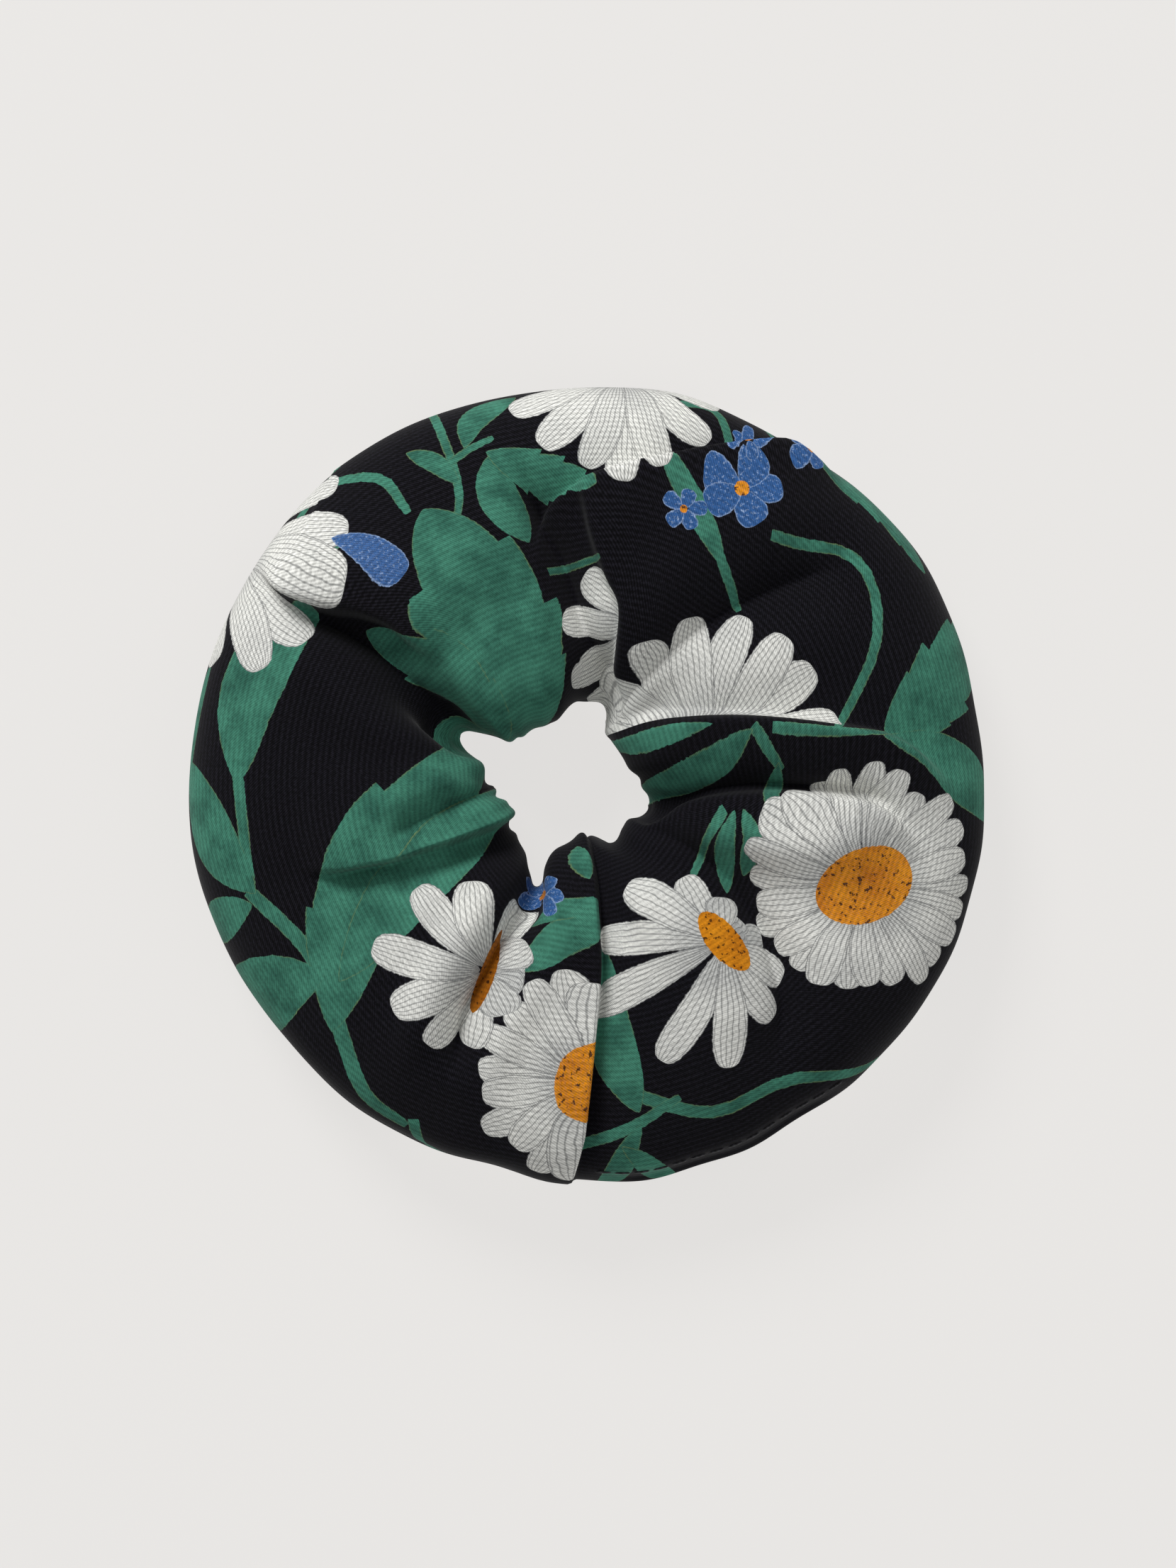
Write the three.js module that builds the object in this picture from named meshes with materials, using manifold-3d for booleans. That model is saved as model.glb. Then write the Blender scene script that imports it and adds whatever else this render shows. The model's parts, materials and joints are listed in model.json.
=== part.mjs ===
// A gathered fabric scrunchie lying flat: one strip of cloth sewn into a tube around a loop of elastic.
// Millimetres, +Z up. The origin is the centre of the ring on the plane it lies on. The cross seam faces -Y.

import * as THREE from "three";
import { mergeVertices } from "three/addons/utils/BufferGeometryUtils.js";
import Module from "manifold-3d";

const wasm = await Module();
wasm.setup();

// ---------- Driving dimensions ----------

// The ring as it lies.
const rimRadius = 56;
const holeRadius = 13;
const ringHeight = 21;
const rimHeight = 7;
const crestRadius = 36;
const innerRimHeight = 10;
const footInnerRadius = 25;
const footOuterRadius = 45;

// The cloth. Its wall stands for the crowded layers of a thin cloth, so it holds the strip's real volume.
const clothWall = 0.8;
const seamAllowance = 5;
const edgeGap = 0.3;

// The long seam's two folded edges lie flat together in a narrow brim outside the puffed tube.
const brimWidth = 2.5;

// Gathers: radial puckers that fade out towards the rim, round a hole that sits off the ring's centre.
const gatherCount = 8;
const gatherLift = 0.1;
const scallopDepth = 1.1;
const holeShift = new THREE.Vector2(-5, -1.5);

// The flat braided elastic, lapped and sewn into a loop, which lies loose in the tube.
const elasticWidth = 6;
const elasticThickness = 1.1;
const elasticLap = 13;
const elasticSideGap = 7;
const lapGap = 0.3;

// Sewing thread and the clearance around it.
const threadRadius = 0.22;
const threadClearance = 0.3;

// The edge stitch that shuts the gap through which the elastic was threaded.
const closingStartAngle = THREE.MathUtils.degToRad(-86);
const closingEndAngle = THREE.MathUtils.degToRad(-46);
const closingStitchLength = 4.2;

// The zigzag that joins the elastic's two ends.
const zigzagCount = 6;
const zigzagEdge = 1.3;

// The share of a stitch that lies on the face of the cloth, and how far a cut runs past what it cuts.
const stitchShare = 0.6;
const cutMargin = 5;

// Fineness of the round surfaces and the threads.
const turnSegments = 48;
const curveSegments = 4;
const threadSides = 6;
const elasticSteps = 60;
const longSeamSteps = 56;
const crossSeamSteps = 30;
const closingSteps = 72;
const zigzagSteps = 44;

// ---------- Sizes that follow from these ----------

const crossSeamAngle = -Math.PI / 2;
const threadRoom = threadRadius + threadClearance;
const tubeRadius = rimRadius - brimWidth;
const closingRadius = rimRadius - brimWidth / 2;
const elasticRadius = holeRadius + seamAllowance + elasticSideGap;
const elasticHeight = ringHeight / 2;

// Half the thickness of two folded edges that lie together.
const edgeHalf = edgeGap / 2 + clothWall;

// The angle, seen from the ring's centre, that keeps one seam's thread clear of the next.
const seamClearAngle = (2 * (threadRoom + edgeHalf)) / rimRadius;

// ---------- Solids: joining and cutting ----------

// A closed three.js geometry as a solid that can be joined and cut.
function toSolid(geometry) {
  const bare = geometry.clone();
  bare.deleteAttribute("normal");
  bare.deleteAttribute("uv");
  const merged = mergeVertices(bare, 1e-4);
  return new wasm.Manifold(
    new wasm.Mesh({
      numProp: 3,
      vertProperties: new Float32Array(merged.attributes.position.array),
      triVerts: new Uint32Array(merged.index.array),
    }),
  );
}

function toGeometry(solid) {
  const mesh = solid.getMesh();
  const geometry = new THREE.BufferGeometry();
  geometry.setAttribute("position", new THREE.BufferAttribute(mesh.vertProperties, 3));
  geometry.setIndex(new THREE.BufferAttribute(mesh.triVerts, 1));
  geometry.computeVertexNormals();
  return geometry;
}

// ---------- Shape of the tube ----------

// The tube's cross-section in (radius, height), drawn in from its outside by an inset: closed to an edge at
// the long seam, crowned on top, rounded at the hole and flat where it rests.
function section(inset) {
  const edge = new THREE.Vector2(tubeRadius - inset, rimHeight);
  const crest = new THREE.Vector2(crestRadius, ringHeight - inset);
  const inner = new THREE.Vector2(holeRadius + inset, innerRimHeight);
  const shoulder = (tubeRadius - crestRadius) * 0.6;
  const throat = (crestRadius - holeRadius) * 0.5;
  const topPull = (ringHeight - rimHeight) * 0.4;
  const lowPull = rimHeight * 0.5;
  const shape = new THREE.Shape();
  shape.moveTo(edge.x, edge.y);
  shape.bezierCurveTo(edge.x, edge.y + topPull, crest.x + shoulder, crest.y, crest.x, crest.y);
  shape.bezierCurveTo(crest.x - throat, crest.y, inner.x, inner.y + topPull, inner.x, inner.y);
  shape.bezierCurveTo(inner.x, inner.y - lowPull, footInnerRadius - lowPull, inset, footInnerRadius, inset);
  shape.lineTo(footOuterRadius, inset);
  shape.bezierCurveTo(footOuterRadius + lowPull, inset, edge.x, edge.y - lowPull, edge.x, edge.y);
  return shape;
}

// A solid swept once around Z from a closed outline in (radius, height).
function revolve(outline) {
  const points = outline.getPoints(curveSegments);
  if (points[0].distanceTo(points.at(-1)) > 1e-6) points.push(points[0].clone());
  const lathe = new THREE.LatheGeometry(points, turnSegments);
  // A lathe turns about Y, so it is stood up on Z.
  lathe.rotateX(Math.PI / 2);
  const solid = toSolid(lathe);
  if (solid.volume() > 0) return solid;
  lathe.index.array.reverse();
  return toSolid(lathe);
}

// A flat washer between two radii and two heights.
function washer(innerRadius, outerRadius, low, high) {
  const outline = new THREE.Shape();
  outline.moveTo(innerRadius, low);
  outline.lineTo(outerRadius, low);
  outline.lineTo(outerRadius, high);
  outline.lineTo(innerRadius, high);
  outline.closePath();
  return revolve(outline);
}

// A slab across the ring's wall on the -Y side, where the strip's two short ends meet.
function crossSlab(thickness) {
  const reach = rimRadius + cutMargin;
  const slab = new THREE.BoxGeometry(thickness, reach, 2 * (ringHeight + cutMargin));
  slab.translate(0, -reach / 2, 0);
  return toSolid(slab);
}

// Where a point of the plain ring goes when the cloth is gathered: puckered towards the hole, with heights
// scaled from the resting plane, so that what rests on it stays flat.
function gather(point) {
  const radius = Math.hypot(point.x, point.y);
  const angle = Math.atan2(point.y, point.x);
  const inward = THREE.MathUtils.clamp((rimRadius - radius) / (rimRadius - holeRadius), 0, 1);
  const pucker = Math.cos(gatherCount * (angle - crossSeamAngle));
  const drawn = radius + scallopDepth * pucker * inward * inward;
  point.x = drawn * Math.cos(angle) + holeShift.x * inward;
  point.y = drawn * Math.sin(angle) + holeShift.y * inward;
  point.z *= 1 + 2 * gatherLift * inward * (1 - inward) * pucker;
  return point;
}

function gathered(geometry) {
  const position = geometry.attributes.position;
  const point = new THREE.Vector3();
  for (let i = 0; i < position.count; i++) {
    gather(point.fromBufferAttribute(position, i));
    position.setXYZ(i, point.x, point.y, point.z);
  }
  geometry.computeVertexNormals();
  return geometry;
}

// ---------- Threads ----------

// A round thread along a curve, as an extrusion with closed ends.
function threadAlong(curve, steps, radius) {
  const round = new THREE.Shape();
  for (let i = 0; i < threadSides; i++) {
    const turn = (i / threadSides) * 2 * Math.PI;
    const corner = [radius * Math.cos(turn), radius * Math.sin(turn)];
    if (i === 0) round.moveTo(...corner);
    else round.lineTo(...corner);
  }
  round.closePath();
  return new THREE.ExtrudeGeometry(round, { steps, extrudePath: curve, bevelEnabled: false });
}

// The long seam's thread runs round the foot of the brim, between the folded edges.
class LongSeamPath extends THREE.Curve {
  getPoint(t, target = new THREE.Vector3()) {
    const from = closingEndAngle + seamClearAngle;
    const to = crossSeamAngle + 2 * Math.PI - seamClearAngle;
    const angle = THREE.MathUtils.lerp(from, to, t);
    return target.set(tubeRadius * Math.cos(angle), tubeRadius * Math.sin(angle), rimHeight);
  }
}

// The cross seam's thread goes round the tube between the strip's two ends, and stops short of the brim.
function makeCrossSeamPath() {
  const outline = section(seamAllowance / 2).getPoints(curveSegments).slice(1, -2);
  return new THREE.CatmullRomCurve3(outline.map((p) => new THREE.Vector3(0, -p.x, p.y)));
}

// A stretch of a curve, measured along it.
class Stretch extends THREE.Curve {
  constructor(curve, from, to) {
    super();
    Object.assign(this, { curve, from, to });
  }
  getPoint(t, target = new THREE.Vector3()) {
    return this.curve.getPointAt(THREE.MathUtils.lerp(this.from, this.to, t), target);
  }
}

// The closing stitch runs along the brim, up and down through both folded edges.
function makeClosingPath() {
  const arc = closingRadius * (closingEndAngle - closingStartAngle);
  const halves = 2 * Math.floor(arc / closingStitchLength);
  const lift = edgeHalf + threadRoom;
  const points = [];
  for (let i = 0; i < halves; i++) {
    const height = rimHeight + (i % 2 ? -lift : lift);
    for (const end of [-stitchShare / 2, stitchShare / 2]) {
      const share = (i + 0.5 + end) / halves;
      const angle = THREE.MathUtils.lerp(closingStartAngle, closingEndAngle, share);
      const flat = new THREE.Vector2(closingRadius, 0).rotateAround(new THREE.Vector2(), angle);
      points.push(new THREE.Vector3(flat.x, flat.y, height));
    }
  }
  return new THREE.CatmullRomCurve3(points, false, "catmullrom", 0.4);
}

// Each seam's path, with the steps that its thread is made in. The cross seam's thread ends one step short of
// the room made for it.
const longSeam = [new LongSeamPath(), longSeamSteps];
const crossSeamRoom = [makeCrossSeamPath(), crossSeamSteps];
const crossSeamEnd = 1 / crossSeamSteps;
const crossSeam = [new Stretch(crossSeamRoom[0], crossSeamEnd, 1 - crossSeamEnd), crossSeamSteps - 2];
const closing = [makeClosingPath(), closingSteps];

// ---------- The cover ----------

// The strip of cloth: a shell open along the brim and across one end, with its seam allowances turned in,
// and room for the threads.
function makeCover() {
  const outside = revolve(section(0));
  const hollow = revolve(section(clothWall));
  const passage = revolve(section(seamAllowance));
  const lipRadius = tubeRadius - seamAllowance / 2;
  const passageRadius = tubeRadius - seamAllowance - cutMargin;
  const brim = washer(tubeRadius - clothWall, rimRadius, rimHeight - edgeHalf, rimHeight + edgeHalf);
  const lips = washer(lipRadius, tubeRadius, rimHeight - edgeHalf, rimHeight + edgeHalf);
  const flanges = crossSlab(2 * edgeHalf).subtract(passage);
  const turnedIn = lips.add(flanges).intersect(outside);
  const cuts = [
    washer(passageRadius, rimRadius + cutMargin, rimHeight - edgeGap / 2, rimHeight + edgeGap / 2),
    washer(
      tubeRadius - threadRoom,
      tubeRadius + threadRoom,
      rimHeight - threadRoom,
      rimHeight + threadRoom,
    ),
    crossSlab(edgeGap),
    toSolid(threadAlong(...crossSeamRoom, threadRoom)),
    toSolid(threadAlong(...closing, threadRoom)),
  ];
  let cover = outside.subtract(hollow).add(turnedIn).add(brim);
  for (const cut of cuts) cover = cover.subtract(cut);
  return gathered(toGeometry(cover));
}

// ---------- The elastic ----------

// The loop climbs by one thickness and a gap in each turn, so its far end lies over its near end.
class ElasticLoop extends THREE.Curve {
  getPoint(t, target = new THREE.Vector3()) {
    const whole = 2 * Math.PI + elasticLap / elasticRadius;
    return target.copy(onLoop(t * whole, 0, 0));
  }
}

// A point on the loop: an angle from its near end, a distance out from its middle and a height off it.
function onLoop(angle, out, up) {
  const climb = ((elasticThickness + lapGap) * angle) / (2 * Math.PI);
  const radius = elasticRadius + climb + out;
  return new THREE.Vector3(radius * Math.cos(angle), radius * Math.sin(angle), up);
}

// The zigzag goes in and out through both lapped layers, from one edge of the band to the other.
function makeZigzagPath() {
  const layers = 2 * elasticThickness + lapGap;
  const inner = -elasticThickness / 2 - threadRoom;
  const outer = inner + layers + 2 * threadRoom;
  const reach = elasticWidth / 2 - zigzagEdge;
  const points = [];
  for (let i = 0; i < zigzagCount; i++) {
    const angle = (elasticLap / elasticRadius) * ((i + 1) / (zigzagCount + 1));
    const up = i % 2 ? reach : -reach;
    const faces = i % 2 ? [inner, outer] : [outer, inner];
    for (const out of faces) points.push(onLoop(angle, out, up));
  }
  return new THREE.CatmullRomCurve3(points, false, "catmullrom", 0.3);
}
const zigzag = [makeZigzagPath(), zigzagSteps];

function makeElasticBand() {
  const band = new THREE.Shape();
  band.moveTo(-elasticWidth / 2, -elasticThickness / 2);
  band.lineTo(elasticWidth / 2, -elasticThickness / 2);
  band.lineTo(elasticWidth / 2, elasticThickness / 2);
  band.lineTo(-elasticWidth / 2, elasticThickness / 2);
  band.closePath();
  const strip = new THREE.ExtrudeGeometry(band, {
    steps: elasticSteps,
    extrudePath: new ElasticLoop(),
    bevelEnabled: false,
  });
  const needleHoles = threadAlong(...zigzag, threadRoom);
  return toGeometry(toSolid(strip).subtract(toSolid(needleHoles)));
}

// ---------- Materials ----------

function cloth() {
  return new THREE.MeshStandardMaterial({ color: 0x17161b, roughness: 0.9, metalness: 0 });
}

function sewingThread() {
  return new THREE.MeshStandardMaterial({ color: 0x0d0d10, roughness: 0.7, metalness: 0 });
}

function braidedElastic() {
  return new THREE.MeshStandardMaterial({ color: 0xe9e6df, roughness: 0.85, metalness: 0 });
}

// ---------- Assembly ----------

function piece(name, geometry, material) {
  const mesh = new THREE.Mesh(geometry, material);
  mesh.name = name;
  return mesh;
}

const cover = new THREE.Group();
cover.add(piece("cover", makeCover(), cloth()));
for (const [name, path] of Object.entries({ long_seam: longSeam, cross_seam: crossSeam, closing })) {
  cover.add(piece(`${name}_stitch`, gathered(threadAlong(...path, threadRadius)), sewingThread()));
}

// The elastic lies loose in the tube, and moves off centre with the part of the tube that it lies in.
const elastic = new THREE.Group();
elastic.add(piece("elastic_band", makeElasticBand(), braidedElastic()));
elastic.add(piece("elastic_join_stitch", threadAlong(...zigzag, threadRadius), sewingThread()));
const elasticInward = (rimRadius - elasticRadius) / (rimRadius - holeRadius);
elastic.position.set(holeShift.x * elasticInward, holeShift.y * elasticInward, elasticHeight);

const scrunchie = new THREE.Group();
scrunchie.add(cover, elastic);

export default scrunchie;
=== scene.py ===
import json
import math

import bpy
import numpy as np
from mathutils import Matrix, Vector


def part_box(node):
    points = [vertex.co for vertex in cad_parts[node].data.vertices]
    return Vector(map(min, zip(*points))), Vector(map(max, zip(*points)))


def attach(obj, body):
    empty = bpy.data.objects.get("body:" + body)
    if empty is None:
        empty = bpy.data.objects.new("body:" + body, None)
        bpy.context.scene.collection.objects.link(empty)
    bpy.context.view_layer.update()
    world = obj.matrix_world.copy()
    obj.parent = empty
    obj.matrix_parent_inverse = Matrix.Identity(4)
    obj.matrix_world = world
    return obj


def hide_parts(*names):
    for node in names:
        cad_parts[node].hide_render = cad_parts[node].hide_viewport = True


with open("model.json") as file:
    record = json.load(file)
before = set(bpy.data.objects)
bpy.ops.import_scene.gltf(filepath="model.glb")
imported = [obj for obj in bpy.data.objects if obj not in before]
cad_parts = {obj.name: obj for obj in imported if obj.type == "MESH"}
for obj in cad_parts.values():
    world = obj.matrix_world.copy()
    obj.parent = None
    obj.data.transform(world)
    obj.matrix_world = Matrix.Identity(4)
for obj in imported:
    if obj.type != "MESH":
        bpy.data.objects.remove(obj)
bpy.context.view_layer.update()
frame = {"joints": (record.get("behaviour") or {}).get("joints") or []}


# ------------------------------------------------------------------------------------------
# Camera: looks straight down on the ring, which lies flat, with the cross seam nearest its lower edge.

VIEW_WIDTH = 0.1625
LENS = 100.0
SENSOR = 36.0
ASPECT = 2212 / 1659
# The level that the view's width is measured at, near the rim's own height.
SHARP_LEVEL = 0.012

camera = bpy.data.cameras.new("camera")
camera.lens = LENS
camera.sensor_width = SENSOR
holder = bpy.data.objects.new("camera", camera)
holder.location = (0, 0, SHARP_LEVEL + VIEW_WIDTH * ASPECT * LENS / SENSOR)
bpy.context.scene.collection.objects.link(holder)
bpy.context.scene.camera = holder


# ------------------------------------------------------------------------------------------
# Cover: one strip of printed twill, sewn along its length into a tube and across its ends into a ring, then
# gathered on the elastic. The long seam's allowances are turned in at the outer rim; the cloth crowds into
# soft folds round the hole and lies nearly smooth at the rim.

MM = 0.001
# Steps round the ring, across the strip, and across each turned-in edge.
TURN_STEPS = 600
ACROSS_STEPS = 150
ALLOWANCE_STEPS = 5

# The rim, and how far its mean stays inside the frame's. Heights of the rim and of the hole's edge, and how
# far the cloth rises over them and hangs under them. All in mm.
RIM_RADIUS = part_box("cover")[1].x / MM
RIM_CLEARANCE = 0.55
RIM_HEIGHT = 7.0
INNER_HEIGHT = 8.5
TOP_RISE = 12.5
UNDER_DROP = 6.6
# Powers that make the tube's section blunter than an ellipse: at its rim, its top and its underside.
RIM_BLUNTNESS = 0.82
TOP_BLUNTNESS = 0.8
UNDER_BLUNTNESS = 0.45
# How unevenly the cloth fills: how far the rim wanders in mm, and the top's share of its rise.
RIM_WANDER = 0.35
PUFF = 0.06
# Gathers: sharp pleats in the hole's wall and under the ring, soft ones at the hole's edge, fine ripples.
# How many go round the ring, and how deep they are in mm.
PLEATS, PLEAT_IN_HOLE, PLEAT_UNDER = 38, 0.8, 1.0
SOFT_PLEATS, SOFT_PLEAT_DEPTH = 19, 0.15
RIPPLE, RIPPLE_INWARD = 0.10, 0.20
# The long seam's turned-in edges: how wide they are, and how far each lies from their common middle.
SEAM_ALLOWANCE = 7.0
FOLDED_EDGE = 0.35
HOLE_CENTRE = np.array([-4.0, -1.0])
MEAN_HOLE = 12
# Where the rim is sewn shut by hand after turning, in radians round the ring.
CLOSING = np.radians([-88, -50])

# The hole as the crowded cloth leaves it: angle in degrees and radius in mm, seen from HOLE_CENTRE.
HOLE_OUTLINE = [
    (-159, 8.0), (-129, 8.5), (-114, 11.0), (-104, 14.4), (-92, 8.8), (-73, 6.8), (-54, 7.2), (-45, 10.2),
    (-35, 10.4), (-21, 10.0), (-12, 12.8), (3, 11.4), (14, 11.1), (34, 10.5), (54, 10.0), (62, 13.4),
    (67, 12.8), (80, 12.7), (91, 9.8), (127, 9.1), (136, 9.9), (142, 12.5), (151, 16.8), (157, 12.7),
    (177, 9.0),
]


def around(angles, outline, softness):
    """A radius at each angle, from a list of (degrees, value) that closes on itself, with corners eased."""
    fine = np.arange(0, 360, 0.5)
    keys = [a for a, _ in outline]
    values = np.interp(fine, keys, [r for _, r in outline], period=360)
    reach = np.minimum(fine, 360 - fine)
    weights = np.exp(-0.5 * (reach / softness) ** 2)
    eased = np.fft.irfft(np.fft.rfft(values) * np.fft.rfft(weights / weights.sum()), len(fine))
    return np.interp(np.degrees(angles), fine, eased, period=360)


def waves(angle, other, seed, count, lowest, highest):
    """A smooth random unevenness that closes on itself in both directions, about -1 to 1."""
    rng = np.random.default_rng(seed)
    total = 0
    for _ in range(count):
        turns = rng.integers(lowest, highest + 1)
        total = total + np.cos(turns * angle + rng.integers(-2, 3) * other + rng.uniform(0, 2 * math.pi))
    return total / math.sqrt(count)


def ease(value, low, high):
    """0 at low, 1 at high, smooth between."""
    share = np.clip((value - low) / (high - low), 0, 1)
    return share * share * (3 - 2 * share)


def signed_power(value, power):
    return np.sign(value) * np.abs(value) ** power


def smooth_path(points, per_span=10):
    """Points along a smooth curve through the given ones."""
    given = np.array(points, float)
    ends = np.vstack([2 * given[0] - given[1], given, 2 * given[-1] - given[-2]])
    out = []
    for i in range(len(given) - 1):
        a, b, c, d = ends[i : i + 4]
        bend = 2 * a - 5 * b + 4 * c - d
        twist = 3 * b - a - 3 * c + d
        for t in np.linspace(0, 1, per_span, endpoint=False):
            out.append(0.5 * (2 * b + (c - a) * t + bend * t**2 + twist * t**3))
    return np.array(out + [given[-1]])


def along_path(places, path):
    """How far along the path (0 to 1) and how far to its left each place lies, and the way left there."""
    steps = np.diff(path, axis=0)
    lengths = np.linalg.norm(steps, axis=1)
    starts = np.concatenate([[0], np.cumsum(lengths)])
    best = np.full(len(places), np.inf)
    along = np.zeros(len(places))
    side = np.zeros(len(places))
    left = np.zeros((len(places), 2))
    for i, (step, length) in enumerate(zip(steps, lengths)):
        rel = places - path[i]
        share = rel @ step / length**2
        low = -np.inf if i == 0 else 0
        high = np.inf if i == len(steps) - 1 else 1
        near = np.clip(share, low, high)
        off = rel - near[:, None] * step
        away = np.hypot(off[:, 0], off[:, 1])
        normal = np.array([-step[1], step[0]]) / length
        closer = away < best
        best = np.where(closer, away, best)
        along = np.where(closer, (starts[i] + near * length) / starts[-1], along)
        side = np.where(closer, np.sign(rel @ normal) * away, side)
        left[closer] = normal
    return along, side, left


# Folds on top. A crease sinks; a lap has its left side lying over its right. Each has a depth, a width, how
# far it lies over, and its path as seen from above, all in mm.
FOLDS = {
    "pocket": ("lap", 3.2, 2.8, 2.2, [(-46, 30), (-41, 27), (-35, 26), (-30, 25), (-25, 22.6), (-20, 17)]),
    "upper_left": (
        "crease", 5.2, 3.6, 0,
        [(-42, 25), (-35, 22), (-29, 18), (-24, 13), (-18.5, 7.5), (-14, 2)],
    ),
    "leaf_panel": ("crease", 3.8, 3.2, 0, [(-10, 45), (-6.5, 37), (-4, 31), (-1.5, 23), (1, 15), (2, 6)]),
    "petal_ridge": (
        "lap", 1.6, 2.4, 1.2,
        [(-1, 44), (0.5, 40), (1.5, 35), (3.5, 29), (5.2, 24.5), (4.2, 17), (3, 8)],
    ),
    "top_band": (
        "lap", 2.0, 2.4, 1.6,
        [(36, 41), (31, 44.5), (25, 46), (12, 44), (1, 41), (-5.5, 36), (-9, 28)],
    ),
    "upper_right": ("crease", 3.0, 4.0, 0, [(3, 8), (7, 13), (12, 18.5), (19, 23.5), (27, 27.5), (38, 31)]),
    "right_lap": (
        "lap", 2.6, 3.2, 1.8,
        [(51, -2), (45.5, 3), (40, 6), (31, 7.6), (20, 8.4), (9, 7.8), (0, 6)],
    ),
    "right_valley": ("crease", 4.4, 3.4, 0, [(4, -4), (13, -1), (21, 0), (29, -0.4), (37, -1), (44, -4)]),
    "daisy_lap": ("lap", 1.8, 2.2, 1.6, [(46, -9), (40, -4.6), (33, -3.2), (25, -2.6), (16, -3), (6, -6)]),
    "right_lower": (
        "crease", 3.6, 4.0, 0,
        [(5, -6), (12, -8), (19, -13), (24.5, -21), (27, -31), (25, -41)],
    ),
    "left_hook": (
        "lap", 3.0, 2.4, 1.4,
        [(-39, -12.5), (-32, -10.6), (-26, -9.4), (-20, -7.6), (-14, -5.6), (-8, -4)],
    ),
    "left_tuck": ("crease", 2.6, 1.9, 0, [(-28, -8), (-24.5, -5.4), (-19, -2.8), (-13, -0.2), (-8, 1.5)]),
    "lower_left": (
        "crease", 4.2, 2.8, 0,
        [(-6, -12), (-10, -20), (-13.5, -26), (-17, -32.5), (-18.5, -41)],
    ),
    "cross_seam": (
        "lap", 2.0, 2.0, 2.0,
        [(-2.6, -60), (-2.5, -54), (-1.5, -45.7), (-0.3, -34.5), (0.5, -25), (0.1, -16), (-1.9, 0)],
    ),
    "left_rim": ("crease", 1.2, 1.6, 0, [(-49, -27), (-44, -34.5), (-33.5, -45), (-20, -52), (-4, -55)]),
}


def swell(value, middle, width, power=2):
    """1 at the middle, falling away on both sides within about the width."""
    return np.exp(-(np.abs((value - middle) / width) ** power))


def fold_profile(kind, side, width, over):
    """Rise and sideways slip of the cloth across a fold, at a distance to the left of it. A crease has low
    ridges on both sides. A lap's left side is lifted and slips over the right side, which sinks."""
    if kind == "crease":
        ridges = 0.28 * swell(np.abs(side), 2.1 * width, width)
        drawn_in = -0.35 * width * np.tanh(side / width) * swell(side, 0, 2.2 * width)
        return ridges - swell(side, 0, width, 1.25), drawn_in
    lifted = ease(side, -0.35 * width, 0.45 * width) * swell(np.maximum(side, 0), 0, 4.5 * width)
    sunk = ease(-side, -0.3 * width, 0.5 * width) * swell(np.maximum(-side, 0), 0, 1.8 * width)
    return 0.8 * lifted - 0.7 * sunk, -over * swell(side, 0.45 * width, 0.75 * width)


def tube_reach(angle):
    """How far towards the hole the tube reaches at an angle round it: 0 at the rim, 1 at the hole."""
    return 0.5 * (1 - signed_power(np.cos(angle), RIM_BLUNTNESS))


def tube_level(angle, rise):
    """Height over the tube's rim at an angle round it, up to the rise on top and down to the drop below."""
    across = np.abs(np.sin(angle))
    return np.where(angle < math.pi, rise * across**TOP_BLUNTNESS, -UNDER_DROP * across**UNDER_BLUNTNESS)


def cover_shape():
    """The cover's points in mm as a grid, turn by turn from the cross seam and across from the long seam,
    with the plain ring under its folds and how far each point is round its tube."""
    turn = -math.pi / 2 + 2 * math.pi * np.arange(TURN_STEPS) / TURN_STEPS
    # Steps across the cloth are evenly long.
    fine = np.linspace(0, 2 * math.pi, 721)
    inwards = np.diff(tube_reach(fine)) * (RIM_RADIUS - MEAN_HOLE)
    step = np.hypot(inwards, np.diff(tube_level(fine, TOP_RISE)))
    run = np.concatenate([[0], np.cumsum(step)])
    round_tube = np.interp(np.linspace(0, run[-1], ACROSS_STEPS), run, fine)
    a, t = np.meshgrid(turn, round_tube, indexing="ij")
    inward = tube_reach(t)
    outer = RIM_RADIUS - RIM_CLEARANCE + RIM_WANDER * waves(a, 0 * t, 4, 6, 2, 9)
    hole = around(a, HOLE_OUTLINE, 3.0)
    direction = np.stack([np.cos(a), np.sin(a)], -1)
    plan = (1 - inward)[..., None] * outer[..., None] * direction
    plan += inward[..., None] * (HOLE_CENTRE + hole[..., None] * direction)
    base = RIM_HEIGHT + (INNER_HEIGHT - RIM_HEIGHT) * inward
    rise = TOP_RISE * (1 + PUFF * waves(a, t, 8, 8, 2, 6))
    return a, t, inward, np.concatenate([plan, (base + tube_level(t, rise))[..., None]], -1)


def surface_normals(points):
    """The outward way at each point of the grid."""
    round_ring = np.roll(points, -1, 0) - np.roll(points, 1, 0)
    across = np.gradient(points, axis=1)
    out = np.cross(across, round_ring)
    out /= np.linalg.norm(out, axis=-1, keepdims=True) + 1e-9
    return -out


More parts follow.
